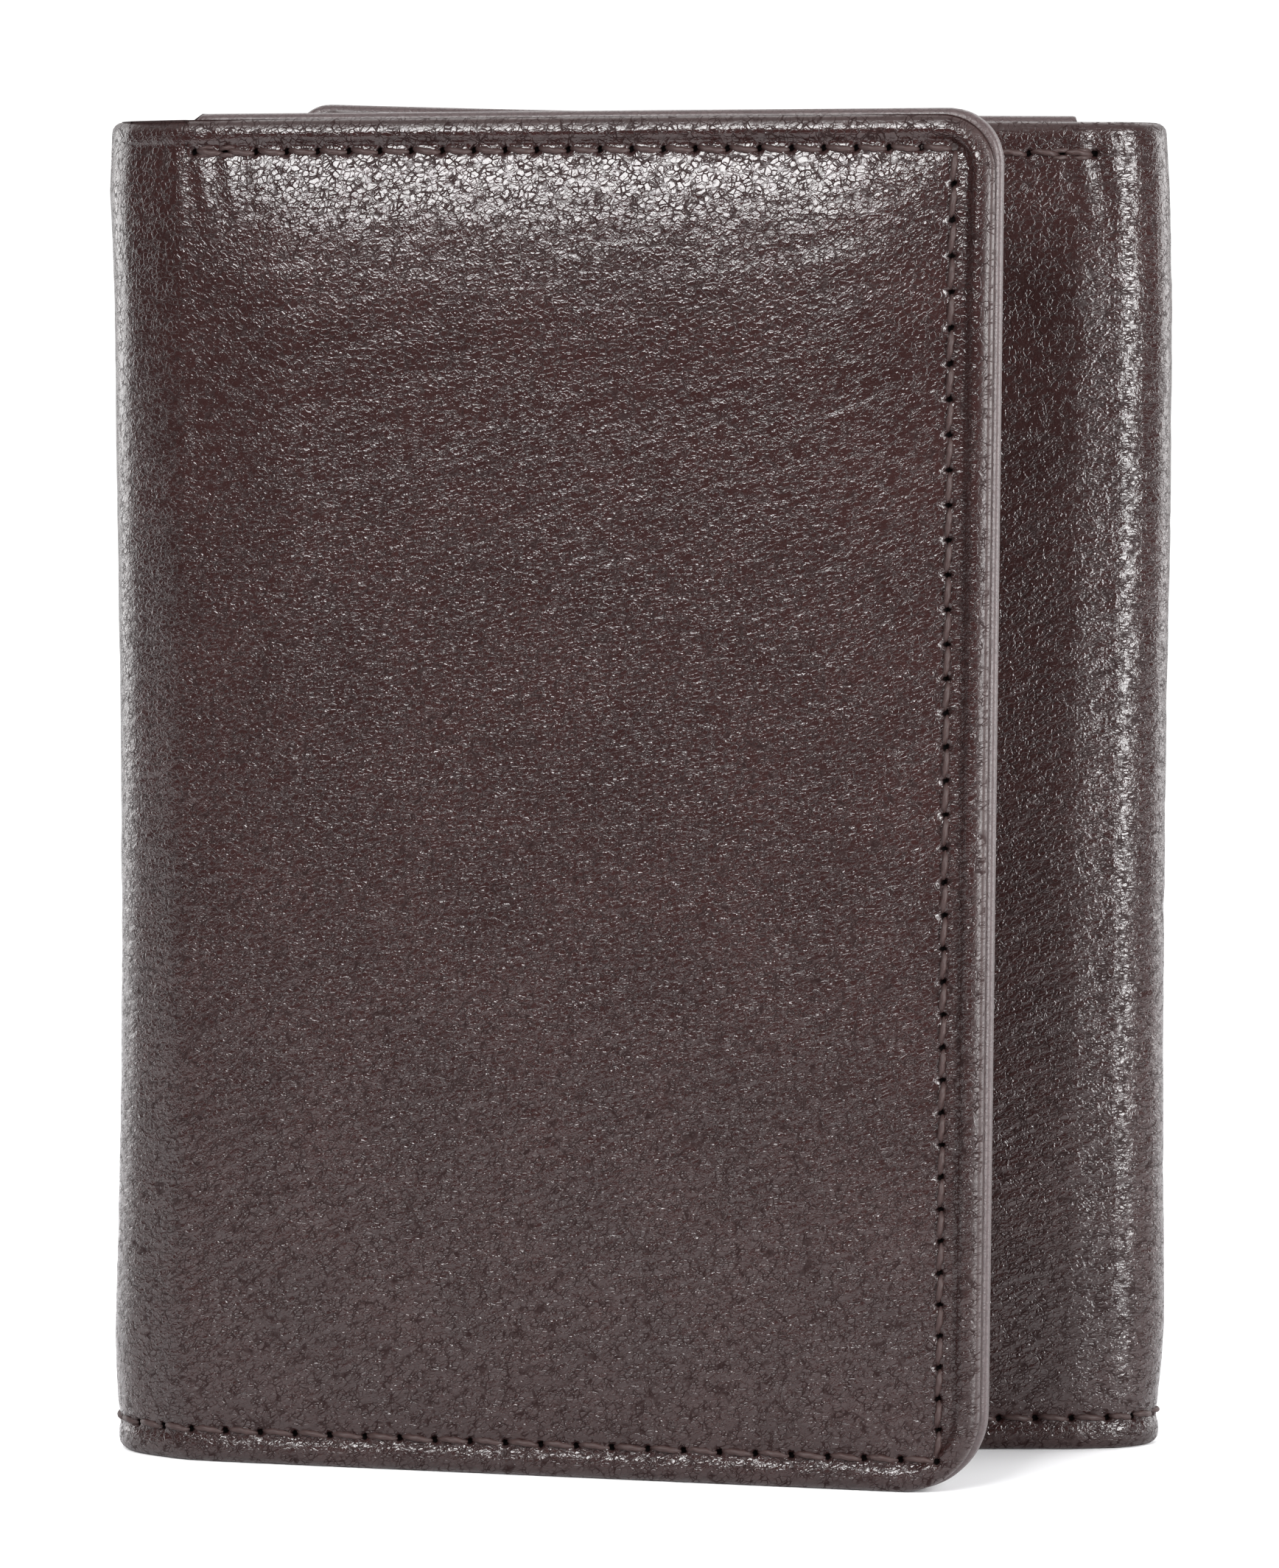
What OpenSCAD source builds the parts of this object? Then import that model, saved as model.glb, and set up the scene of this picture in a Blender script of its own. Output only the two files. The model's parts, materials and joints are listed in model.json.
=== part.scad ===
// Trifold wallet standing on its bottom edge, with its front flap a little ajar.
// Three leather panels are joined by two folds: the second flap folds in from the right, the front flap
// folds over it from the left. X runs along the width, Y runs to the rear and Z up.
// Layers are drawn at a depth measured forwards from the rear face; wallet_frame() turns that into Y.

/* [Overall size] */
// Width across both folds
wallet_w = 85; // [82:0.5:95]
// Height of the inner panels
panel_h = 108; // [100:0.5:116]
// How far the shell leather stops below the top of the inner panels
top_step = 0.5; // [0.2:0.1:1]
// Length of each flap from the end of its fold to its free edge
flap_len = 65.75; // [60:0.25:67]
// Angle by which the front flap stands open at rest
ajar = 14.1; // [10:0.1:20]

/* [Folds] */
// Outer radius of the left fold, which carries the front flap
left_fold_r = 6.65; // [6.6:0.05:7.2]
// Outer radius of the right fold, which carries the second flap
right_fold_r = 4.45; // [4.4:0.05:4.6]
// Angle left free on each side of a crease
crease_gap = 3; // [2.5:0.5:4]

/* [Leather and linings] */
// Thickness of the shell leather
shell_t = 1.1; // [0.9:0.05:1.1]
// Thickness of the stiffener board, and of the turned hem round it
board_t = 0.4; // [0.3:0.05:0.4]
// Thickness of the inner panels
inner_t = 0.6; // [0.5:0.05:0.6]
// Thickness of one card pocket ply
ply_t = 0.45; // [0.35:0.05:0.45]
// Thickness of the note pocket lining
lining_t = 0.3; // [0.2:0.05:0.3]
// Room inside the note pocket, front to back
note_gap = 1.2; // [0.8:0.1:1.2]
// Width of the turned hem round the free edges of a flap
hem_w = 7; // [5:0.5:8]

/* [Edges] */
// Radius of a flap's top corner
top_corner_r = 4.3; // [3:0.1:5]
// Radius of a flap's bottom corner
bottom_corner_r = 6; // [4:0.1:7]
// How far the inner panel stands out past the shell at the free edge
edge_step = 0.4; // [0.1:0.05:0.5]

/* [Card pockets] */
// Height of the tallest card pocket's mouth
pocket_top = 94; // [88:1:96]
// Drop from one mouth to the next
pocket_step = 11; // [8:0.5:14]
// Inset of the pockets from the panel's edge
pocket_inset = 0.8; // [0.6:0.1:1.2]

/* [Identity window] */
// Outer width of the window frame
frame_w = 64; // [60:1:66]
// Outer height of the window frame
frame_h = 96; // [90:1:98]
// Width of the clear opening
window_w = 46; // [42:1:50]
// Height of the clear opening
window_h = 72; // [66:1:76]
// Thickness of the clear film
film_t = 0.2; // [0.15:0.05:0.3]

/* [Stitching] */
// Distance from one stitch to the next
stitch_pitch = 2.6; // [2.2:0.1:3]
// Length of thread showing in one stitch
stitch_len = 2; // [1.6:0.1:2]
// Thickness of the thread
thread_d = 0.4; // [0.3:0.05:0.5]
// Inset of the stitch line from the top of the shell
stitch_inset_top = 2.3; // [2:0.1:3]
// Inset of the stitch line from the free edge of the shell
stitch_inset_side = 3.3; // [3:0.1:4]
// Inset of the stitch line from the bottom edge
stitch_inset_bottom = 2.6; // [2:0.1:3]
// Distance from the end of a fold to the first top stitch
stitch_start = 0.6; // [0.4:0.1:2]

/* [Hidden] */
shell_h = panel_h - top_step;
inner_depth = shell_t + board_t;
pocket_depth = inner_depth + inner_t;
left_x = left_fold_r - wallet_w / 2;
right_x = wallet_w / 2 - right_fold_r;
lining_depth = shell_t + lining_t + note_gap;
centre_depth = lining_depth + lining_t;
film_depth = centre_depth + inner_t;
ramp_len = 4;
board_play = 0.2;
pocket_fold_inset = 3;
mouth_corner_r = 0.5;
tack_len = 3.6;
tack_gap = 0.2;
stitch_line_z = shell_h - stitch_inset_top;
round_fn = 64;

// A crease turns about the point that keeps the leather's middle surface the same length.
function neutral_r(r) = r - shell_t / 2;
function crease_r(r, bend) = neutral_r(r) * (bend * PI / 360) / sin(bend / 2);
left_bend = 60;
right_bend = 90;
left_crease_r = crease_r(left_fold_r, left_bend);
last_crease = 180 - left_bend / 2;
flap_crease_x = left_x - left_crease_r * sin(last_crease);
flap_crease_depth = left_fold_r - left_crease_r * cos(last_crease);
rest_depth = flap_crease_depth + (left_x + flap_len - flap_crease_x) * sin(ajar)
    + (2 * left_fold_r - flap_crease_depth) * cos(ajar);

leather_colour = [0.16, 0.11, 0.1];
inner_colour = [0.2, 0.14, 0.12];
lining_colour = [0.12, 0.1, 0.1];
board_colour = [0.62, 0.54, 0.42];
thread_colour = [0.13, 0.09, 0.08];
film_colour = [0.85, 0.9, 0.92, 0.4];

// ---- Frames ----

// Places shapes drawn in width, depth and height, with depth measured forwards from the rear face.
module wallet_frame() {
    translate([0, rest_depth / 2, 0])
        mirror([0, 1, 0])
            children();
}

// Places shapes drawn along the front flap: distance from its fold, depth inwards, height.
module front_flap_frame() {
    wallet_frame()
        translate([flap_crease_x, flap_crease_depth, 0])
            rotate([0, 0, ajar])
                translate([left_x - flap_crease_x, 2 * left_fold_r - flap_crease_depth, 0])
                    mirror([0, 1, 0])
                        children();
}

// Places shapes drawn along the second flap in the same way.
module second_flap_frame() {
    wallet_frame()
        translate([right_x, 2 * right_fold_r, 0])
            mirror([1, 0, 0])
                mirror([0, 1, 0])
                    children();
}

// ---- Shared shapes ----

// An upright plate whose outline is drawn in width and height, from depth w0 inwards.
module upright(w0, t) {
    translate([0, w0 + t, 0])
        rotate([90, 0, 0])
            linear_extrude(t)
                children();
}

// A quarter-round cut for the corner of an outline, with its corner at the origin.
module corner_cut(r) {
    difference() {
        translate([-r, -r])
            square(r + 1);
        translate([-r, -r])
            circle(r, $fn = round_fn);
    }
}

// Outline of a panel with rounded corners on its free edge only.
module free_outline(x0, x1, z0, z1, r_top, r_bottom) {
    difference() {
        translate([x0, z0])
            square([x1 - x0, z1 - z0]);
        translate([x1, z1])
            corner_cut(r_top);
        translate([x1, z0])
            mirror([0, 1])
                corner_cut(r_bottom);
    }
}

// A stretch of fold: a ring sector about the fold's centre, from angle a0 to angle a1.
module fold_arc(r, t, a0, a1, h) {
    rotate([0, 0, a0])
        rotate_extrude(angle = a1 - a0, $fn = round_fn)
            translate([r - t, 0])
                square([t, h]);
}

// One thread lying along X, its middle at the origin and its underside on depth zero.
module thread(length) {
    translate([-length / 2, -thread_d / 2, 0])
        rotate([0, 90, 0])
            cylinder(h = length, d = thread_d, $fn = 16);
}

// A row of threads along X from x0 to x1.
module stitch_row(x0, x1) {
    count = floor((x1 - x0) / stitch_pitch);
    margin = (x1 - x0 - count * stitch_pitch) / 2;
    for (i = [0 : count - 1])
        translate([x0 + margin + (i + 0.5) * stitch_pitch, 0, 0])
            thread(stitch_len);
}

// Two stitches of the bottom seam, bent round a fold at the given middle angles.
module fold_stitches(r, middles) {
    half_angle = stitch_len / r * 90 / PI;
    for (middle = middles)
        translate([0, 0, stitch_inset_bottom - thread_d / 2])
            fold_arc(r + thread_d, thread_d, middle - half_angle, middle + half_angle, thread_d);
}

// ---- Parts shared by both flaps ----

// Shell leather of a flap: the end of its fold, the panel, and the hem turned in round three edges.
module flap_leather(fold_r, arc) {
    color(leather_colour)
    union() {
        translate([0, fold_r, 0])
            fold_arc(fold_r, shell_t, 270, 270 - arc, shell_h);
        upright(0, shell_t)
            free_outline(0, flap_len - edge_step, 0, shell_h, top_corner_r, bottom_corner_r);
        upright(shell_t, board_t)
            difference() {
                free_outline(0, flap_len - edge_step, 0, shell_h, top_corner_r, bottom_corner_r);
                translate([-1, hem_w])
                    square([flap_len - edge_step - hem_w + 1, shell_h - 2 * hem_w]);
            }
    }
}

// Board that lies inside the hem and keeps the flap flat.
module flap_stiffener() {
    color(board_colour)
    upright(shell_t, board_t)
        translate([board_play, hem_w + board_play])
            square([flap_len - edge_step - hem_w - 2 * board_play, shell_h - 2 * hem_w - 2 * board_play]);
}

// Inner panel of a flap, running on into the inside of the fold.
module flap_inner_panel(fold_r, arc) {
    color(inner_colour)
    union() {
        translate([0, fold_r, 0])
            fold_arc(fold_r - inner_depth, inner_t, 270, 270 - arc, shell_h);
        upright(inner_depth, inner_t)
            free_outline(0, flap_len, 0, panel_h, top_corner_r, bottom_corner_r);
    }
}

// Card pocket number i, counted from the tallest; each lies on the one behind it.
module flap_card_pocket(i) {
    color(inner_colour)
    upright(pocket_depth + i * ply_t, ply_t)
        free_outline(pocket_fold_inset, flap_len - pocket_inset, pocket_inset, pocket_top - i * pocket_step,
            mouth_corner_r, bottom_corner_r - pocket_inset);
}

// Seam round the three free edges of a flap.
module flap_stitching() {
    side_x = flap_len - edge_step - stitch_inset_side;
    color(thread_colour)
    union() {
        translate([0, 0, stitch_line_z])
            stitch_row(stitch_start + tack_len, side_x);
        translate([0, 0, stitch_inset_bottom])
            stitch_row(0, side_x);
        translate([side_x, 0, 0])
            rotate([0, -90, 0])
                stitch_row(stitch_inset_bottom, stitch_line_z);
    }
}

// Back-stitched end of the top seam: two threads side by side.
module flap_bar_tack() {
    color(thread_colour)
    for (side = [-1, 1])
        translate([stitch_start + tack_len / 2, 0, stitch_line_z + side * (thread_d + tack_gap) / 2])
            thread(tack_len - tack_gap);
}

// ---- Centre panel ----

module back_panel_leather() {
    color(leather_colour)
    wallet_frame()
        union() {
            translate([left_x, left_fold_r, 0])
                fold_arc(left_fold_r, shell_t, 270, 270 - left_bend / 2 + crease_gap, shell_h);
            translate([left_x, 0, 0])
                cube([right_x - left_x, shell_t, shell_h]);
            translate([right_x, right_fold_r, 0])
                fold_arc(right_fold_r, shell_t, 270, 270 + right_bend / 2 - crease_gap, shell_h);
        }
}

module note_pocket_rear_lining() {
    color(lining_colour)
    wallet_frame()
        translate([left_x, shell_t, stitch_inset_bottom])
            cube([right_x - left_x, lining_t, shell_h - 2 * stitch_inset_bottom]);
}

module note_pocket_front_lining() {
    color(lining_colour)
    wallet_frame()
        translate([left_x + ramp_len, lining_depth, stitch_inset_bottom])
            cube([right_x - left_x - 2 * ramp_len, lining_t, panel_h - 2 * stitch_inset_bottom]);
}

// Inner panel of the centre, stepping back at each side to run into the inside of the folds.
module centre_inner_panel() {
    color(inner_colour)
    wallet_frame()
        union() {
            translate([left_x, left_fold_r, 0])
                fold_arc(left_fold_r - inner_depth, inner_t, 270, 270 - left_bend / 2 + crease_gap, shell_h);
            linear_extrude(panel_h)
                polygon([
                    [left_x, inner_depth],
                    [left_x + ramp_len, centre_depth],
                    [right_x - ramp_len, centre_depth],
                    [right_x, inner_depth],
                    [right_x, inner_depth + inner_t],
                    [right_x - ramp_len, film_depth],
                    [left_x + ramp_len, film_depth],
                    [left_x, inner_depth + inner_t]
                ]);
            translate([right_x, right_fold_r, 0])
                fold_arc(right_fold_r - inner_depth, inner_t, 270, 270 + right_bend / 2 - crease_gap, shell_h);
        }
}

// Clear film behind the window, a little wider than the opening.
module id_window_film() {
    film_border = 4;
    color(film_colour)
    wallet_frame()
        translate([(left_x + right_x) / 2, film_depth, (frame_h - window_h) / 2 - film_border])
            translate([-window_w / 2 - film_border, 0, pocket_inset])
                cube([window_w + 2 * film_border, film_t, window_h + 2 * film_border]);
}

// Leather frame round the window; its top edge is open for the card.
module id_window_frame() {
    color(inner_colour)
    wallet_frame()
        translate([(left_x + right_x) / 2, 0, pocket_inset])
            upright(film_depth + film_t, ply_t)
                difference() {
                    translate([-frame_w / 2, 0])
                        square([frame_w, frame_h]);
                    translate([-window_w / 2, (frame_h - window_h) / 2])
                        square([window_w, window_h]);
                }
}

module centre_bottom_stitching() {
    color(thread_colour)
    wallet_frame()
        translate([0, 0, stitch_inset_bottom])
            stitch_row(left_x, right_x);
}

// ---- Left fold, in two strips between its three creases ----

module left_fold_strip(r, t, index) {
    wallet_frame()
        translate([left_x, left_fold_r, 0])
            fold_arc(r, t, 270 - left_bend * (index + 1.5) + crease_gap,
                270 - left_bend * (index + 0.5) - crease_gap, shell_h);
}

module left_fold_rear_leather() {
    color(leather_colour)
    left_fold_strip(left_fold_r, shell_t, 0);
}

module left_fold_front_leather() {
    color(leather_colour)
    left_fold_strip(left_fold_r, shell_t, 1);
}

module left_fold_rear_inner_leather() {
    color(inner_colour)
    left_fold_strip(left_fold_r - inner_depth, inner_t, 0);
}

module left_fold_front_inner_leather() {
    color(inner_colour)
    left_fold_strip(left_fold_r - inner_depth, inner_t, 1);
}

// Two stitches in each strip, evenly spaced about its middle.
module left_fold_stitches(index) {
    middle = 270 - left_bend * (index + 1);
    spread = stitch_pitch / left_fold_r * 90 / PI;
    color(thread_colour)
    wallet_frame()
        translate([left_x, left_fold_r, 0])
            fold_stitches(left_fold_r, [middle - spread, middle + spread]);
}

module left_fold_rear_stitching() {
    left_fold_stitches(0);
}

module left_fold_front_stitching() {
    left_fold_stitches(1);
}

// ---- Front flap ----

front_arc = left_bend / 2 - crease_gap;

module front_flap_leather() {
    front_flap_frame()
        flap_leather(left_fold_r, front_arc);
}

module front_flap_stiffener() {
    front_flap_frame()
        flap_stiffener();
}

module front_flap_inner_panel() {
    front_flap_frame()
        flap_inner_panel(left_fold_r, front_arc);
}

module front_flap_tall_card_pocket() {
    front_flap_frame()
        flap_card_pocket(0);
}

module front_flap_middle_card_pocket() {
    front_flap_frame()
        flap_card_pocket(1);
}

module front_flap_short_card_pocket() {
    front_flap_frame()
        flap_card_pocket(2);
}

module front_flap_stitching() {
    front_flap_frame()
        flap_stitching();
}

module front_flap_bar_tack() {
    front_flap_frame()
        flap_bar_tack();
}

// ---- Right fold, one strip between its two creases ----

module right_fold_strip(r, t) {
    wallet_frame()
        translate([right_x, right_fold_r, 0])
            fold_arc(r, t, 270 + right_bend / 2 + crease_gap, 270 + right_bend * 1.5 - crease_gap, shell_h);
}

module right_fold_leather() {
    color(leather_colour)
    right_fold_strip(right_fold_r, shell_t);
}

module right_fold_inner_leather() {
    color(inner_colour)
    right_fold_strip(right_fold_r - inner_depth, inner_t);
}

module right_fold_stitching() {
    middle = 270 + right_bend;
    spread = stitch_pitch / right_fold_r * 90 / PI;
    color(thread_colour)
    wallet_frame()
        translate([right_x, right_fold_r, 0])
            fold_stitches(right_fold_r, [middle - spread, middle + spread]);
}

// ---- Second flap ----

second_arc = right_bend / 2 - crease_gap;

module second_flap_leather() {
    second_flap_frame()
        flap_leather(right_fold_r, second_arc);
}

module second_flap_stiffener() {
    second_flap_frame()
        flap_stiffener();
}

module second_flap_inner_panel() {
    second_flap_frame()
        flap_inner_panel(right_fold_r, second_arc);
}

module second_flap_tall_card_pocket() {
    second_flap_frame()
        flap_card_pocket(0);
}

module second_flap_middle_card_pocket() {
    second_flap_frame()
        flap_card_pocket(1);
}

module second_flap_short_card_pocket() {
    second_flap_frame()
        flap_card_pocket(2);
}

module second_flap_stitching() {
    second_flap_frame()
        flap_stitching();
}

module second_flap_bar_tack() {
    second_flap_frame()
        flap_bar_tack();
}

back_panel_leather();
note_pocket_rear_lining();
note_pocket_front_lining();
centre_inner_panel();
id_window_film();
id_window_frame();
centre_bottom_stitching();
left_fold_rear_leather();
left_fold_rear_inner_leather();
left_fold_rear_stitching();
left_fold_front_leather();
left_fold_front_inner_leather();
left_fold_front_stitching();
front_flap_leather();
front_flap_stiffener();
front_flap_inner_panel();
front_flap_tall_card_pocket();
front_flap_middle_card_pocket();
front_flap_short_card_pocket();
front_flap_stitching();
front_flap_bar_tack();
right_fold_leather();
right_fold_inner_leather();
right_fold_stitching();
second_flap_leather();
second_flap_stiffener();
second_flap_inner_panel();
second_flap_tall_card_pocket();
second_flap_middle_card_pocket();
second_flap_short_card_pocket();
second_flap_stitching();
second_flap_bar_tack();
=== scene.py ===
import json
import math

import bpy
import numpy as np
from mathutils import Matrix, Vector


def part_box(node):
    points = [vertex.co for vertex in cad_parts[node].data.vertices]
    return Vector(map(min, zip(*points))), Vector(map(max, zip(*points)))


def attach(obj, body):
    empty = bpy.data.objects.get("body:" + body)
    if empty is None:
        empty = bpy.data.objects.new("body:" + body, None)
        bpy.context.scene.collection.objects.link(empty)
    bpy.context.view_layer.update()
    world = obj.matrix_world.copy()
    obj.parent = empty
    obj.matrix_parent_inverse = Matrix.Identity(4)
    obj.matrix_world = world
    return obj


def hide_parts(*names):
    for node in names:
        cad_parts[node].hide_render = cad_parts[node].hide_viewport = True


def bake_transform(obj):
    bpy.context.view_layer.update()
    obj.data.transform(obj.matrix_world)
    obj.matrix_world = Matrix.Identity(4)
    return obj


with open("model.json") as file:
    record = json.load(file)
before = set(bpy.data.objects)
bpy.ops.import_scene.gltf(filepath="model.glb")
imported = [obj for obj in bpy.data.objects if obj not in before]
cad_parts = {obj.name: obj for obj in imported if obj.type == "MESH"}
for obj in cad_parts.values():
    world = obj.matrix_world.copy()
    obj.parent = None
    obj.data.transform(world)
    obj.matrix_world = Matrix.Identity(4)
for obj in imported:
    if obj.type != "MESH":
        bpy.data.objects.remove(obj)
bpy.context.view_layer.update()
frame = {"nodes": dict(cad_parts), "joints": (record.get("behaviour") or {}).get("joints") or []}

rng = np.random.default_rng(7)
PI = math.pi

# --- Sizes in millimetres, from the frame ---


def low(node):
    """The low corner of a CAD node's box."""
    return np.array(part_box(node)[0]) * 1000


def high(node):
    """The high corner of a CAD node's box."""
    return np.array(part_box(node)[1]) * 1000


def crease(name):
    """A joint's place in width and depth, with depth measured forwards from the rear face."""
    joint = next(j for j in frame["joints"] if j["name"] == name)
    return np.array([joint["pos_m"][0] * 1000, REAR_Y - joint["pos_m"][1] * 1000])


REAR_Y = high("back_panel_leather")[1]
SHELL_H = high("back_panel_leather")[2]
PANEL_H = high("centre_inner_panel")[2]
LEFT_1, LEFT_2, LEFT_3 = (crease(n) for n in (
    "left_fold_rear_crease", "left_fold_middle_crease", "front_flap_crease"))
RIGHT_1, RIGHT_2 = (crease(n) for n in ("right_fold_rear_crease", "right_fold_front_crease"))
LEFT_R = LEFT_2[1]
LEFT_X = LEFT_2[0] + 2 * (LEFT_1[0] - LEFT_2[0])
RIGHT_R = (RIGHT_1[1] + RIGHT_2[1]) / 2
RIGHT_X = RIGHT_1[0] - (RIGHT_2[1] - RIGHT_1[1]) / 2
AJAR = -math.radians(next(
    j for j in frame["joints"] if j["name"] == "front_flap_crease")["range_deg"][0])
FLAP_LEN = RIGHT_X - low("second_flap_inner_panel")[0]
SHELL_LEN = RIGHT_X - low("second_flap_leather")[0]
POCKET_TOP = high("front_flap_tall_card_pocket")[2]
POCKET_STEP = POCKET_TOP - high("front_flap_middle_card_pocket")[2]
POCKET_INSET = 1.9
BACK_LEN = RIGHT_X - LEFT_X

# Depths of the layers under the shell's outer face
SHELL_T = 1.1
HEM_T = 1.5
PANEL_BACK = 2.1
CENTRE_FRONT, CENTRE_BACK = 2.9, 3.5
PLY_T = 0.45

# Radii of a flap's free corners, top and bottom, and of the shell's rounded edge
FRONT_CORNERS = (4.3, 6.4)
SECOND_CORNERS = (3.0, 6.0)
EDGE_R = 0.85

# Seams: where they lie, the length of a stitch, and the thread
STITCH_TOP = SHELL_H - 2.55
STITCH_BOTTOM = 2.6
STITCH_SIDE = SHELL_LEN - 3.3
PITCH, BOTTOM_PITCH = 2.6, 2.9
THREAD_R, TACK_R, THREAD_SUNK = 0.28, 0.2, 0.16
HOLE_R, HOLE_DEPTH = 0.3, 0.45

# Distance along the shell: zero where the front flap leaves its fold, positive along that flap.
S_BACK = -PI * LEFT_R
S_RIGHT = S_BACK - BACK_LEN
S_SECOND = S_RIGHT - PI * RIGHT_R


# --- The wallet's plan: distance along the shell and depth under its surface ---


def smooth(t):
    """An S-shaped step from 0 to 1 as t goes from 0 to 1."""
    t = np.clip(t, 0, 1)
    return t * t * (3 - 2 * t)


def turn(x, d, pivot, angle):
    """A point of the plan turned about pivot."""
    c, s = np.cos(angle), np.sin(angle)
    px, pd = x - pivot[0], d - pivot[1]
    return pivot[0] + px * c - pd * s, pivot[1] + px * s + pd * c


def plan(s, w):
    """Width and depth of a point s along the shell and w under its outer face, at rest."""
    s, w = np.broadcast_arrays(np.asarray(s, float), np.asarray(w, float))
    # the leather eases into each fold, so that the bend looks oval and not round
    for limb, reach, drop in ((S_BACK / 2, PI * LEFT_R / 2 + 3, 0.3),
                              ((S_RIGHT + S_SECOND) / 2, PI * RIGHT_R / 2 + 3.2, 0.52)):
        q = np.clip(np.abs(s - limb) / reach, 0, 1)
        w = w + drop * np.sin(PI * q) ** 1.5
    x, d = np.empty(s.shape), np.empty(s.shape)
    front = s >= 0
    left = (s < 0) & (s >= S_BACK)
    back = (s < S_BACK) & (s >= S_RIGHT)
    right = (s < S_RIGHT) & (s >= S_SECOND)
    second = s < S_SECOND
    x[front], d[front] = LEFT_X + s[front], 2 * LEFT_R - w[front]
    a = PI + s[left] / LEFT_R
    r = LEFT_R - w[left]
    x[left], d[left] = LEFT_X - r * np.sin(a), LEFT_R - r * np.cos(a)
    x[back], d[back] = LEFT_X + S_BACK - s[back], w[back]
    a = (S_RIGHT - s[right]) / RIGHT_R
    r = RIGHT_R - w[right]
    x[right], d[right] = RIGHT_X + r * np.sin(a), RIGHT_R - r * np.cos(a)
    x[second], d[second] = RIGHT_X - (S_SECOND - s[second]), 2 * RIGHT_R - w[second]
    open_by = AJAR * smooth(1 + s / (PI * LEFT_R / 3))
    return turn(x, d, LEFT_3, open_by)


def to_frame(x, d, z):
    """Metres in the frame's axes."""
    x, d, z = np.broadcast_arrays(x, d, z)
    return np.stack([x, REAR_Y - d, z], -1) / 1000


# How far each fold stands out at some heights, against a straight fold
WAVE_Z = (0, 4, 10, 22, 40, 57, 75, 93, 102, 108)
LEFT_WAVE = (-0.1, 0.06, 0.2, -0.2, -0.5, -0.55, -0.4, -0.22, 0.12, -0.15)
RIGHT_WAVE = (0.0, 0.02, 0.42, 0.27, 0.23, 0.27, 0.5, 0.57, 0.36, 0.0)


def place(s, w, z):
    """A point of the wallet at rest, in metres, from its place along the shell, its depth and its height."""
    s, w, z = np.broadcast_arrays(np.asarray(s, float), np.asarray(w, float), np.asarray(z, float))
    # the front flap narrows a little towards its foot
    x, d = plan(np.where(s > 0, s * (1 - 0.014 * (1 - z / PANEL_H)), s), w)
    on_left = smooth(1 - np.abs(s - S_BACK / 2) / (PI * LEFT_R / 2 + 5))
    on_right = smooth(1 - np.abs(s - (S_RIGHT + S_SECOND) / 2) / (PI * RIGHT_R / 2 + 5))
    x = x - on_left * np.interp(z, WAVE_Z, LEFT_WAVE) + on_right * np.interp(z, WAVE_Z, RIGHT_WAVE)
    # the second flap's top stands a little proud at its free corner
    u = np.clip((S_SECOND - s) / SHELL_LEN, 0, 1)
    return to_frame(x, d, z + u ** 2 * smooth((z - 60) / 48))


# --- Stitches ---


def spread(a, b, pitch=PITCH):
    """Needle holes from a to b, a whole number of stitches apart."""
    count = max(1, round(abs(b - a) / pitch))
    return np.linspace(a, b, count + 1)


SECOND_SIDE = S_SECOND - STITCH_SIDE
TACK_FRONT = 0.6
TACK_SECOND = S_SECOND - 1.6
top_front = spread(TACK_FRONT, STITCH_SIDE)
top_second = spread(TACK_SECOND, SECOND_SIDE)
bottom_ends = (STITCH_SIDE, 0, S_BACK, S_RIGHT, S_SECOND, SECOND_SIDE)
bottom = np.concatenate([[STITCH_SIDE]] + [
    spread(a, b, BOTTOM_PITCH)[1:] for a, b in zip(bottom_ends, bottom_ends[1:])])
# the side seams' stitches grow a little longer towards the top
up_side = np.linspace(0, 1, len(spread(STITCH_BOTTOM, STITCH_TOP)))
side = STITCH_BOTTOM + (STITCH_TOP - STITCH_BOTTOM) * up_side * (0.93 + 0.07 * up_side)
STITCH_LINES = {
    "top_front": np.stack([top_front, np.full(len(top_front), STITCH_TOP)], 1),
    "top_second": np.stack([top_second, np.full(len(top_second), STITCH_TOP)], 1),
    "bottom": np.stack([bottom, np.full(len(bottom), STITCH_BOTTOM)], 1),
    "side_front": np.stack([np.full(len(side), STITCH_SIDE), side], 1),
    "side_second": np.stack([np.full(len(side), SECOND_SIDE), side], 1),
}
HOLES = np.unique(np.round(np.concatenate(list(STITCH_LINES.values())), 4), axis=0)


# --- Relief of the shell ---


def value_noise(x, y, seed):
    """Smooth noise between -1 and 1, one cell per unit, the same each run."""
    table = np.random.default_rng(seed).uniform(-1, 1, (64, 64))
    xi, yi = np.floor(x).astype(int), np.floor(y).astype(int)
    fx, fy = smooth(x - xi), smooth(y - yi)

    def at(i, j):
        return table[(xi + i) % 64, (yi + j) % 64]

    return ((at(0, 0) * (1 - fx) + at(1, 0) * fx) * (1 - fy)
            + (at(0, 1) * (1 - fx) + at(1, 1) * fx) * fy)


def edge_distance(u, z, length, height, radii):
    """Distance inwards from the free edges of a flap with corners of radii (top, bottom)."""
    r = np.where(z > height / 2, radii[0], radii[1])
    cu = np.maximum(u - (length - r), 0)
    cz = np.maximum(np.maximum(z - (height - r), r - z), 0)
    corner = (cu > 0) & (cz > 0)
    return np.where(corner, r - np.hypot(cu, cz), np.minimum(length - u, np.minimum(z, height - z)))


def along_flap(s):
    """Distance along either flap from its fold; negative elsewhere."""
    return np.where(s >= 0, s, S_SECOND - s)


def shell_edge(s, z):
    """Distance inwards from the shell's outline."""
    front = edge_distance(s, z, SHELL_LEN, SHELL_H, FRONT_CORNERS)
    second = edge_distance(S_SECOND - s, z, SHELL_LEN, SHELL_H, SECOND_CORNERS)
    return np.where(s >= 0, front, np.where(s <= S_SECOND, second, np.minimum(z, SHELL_H - z)))


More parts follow.
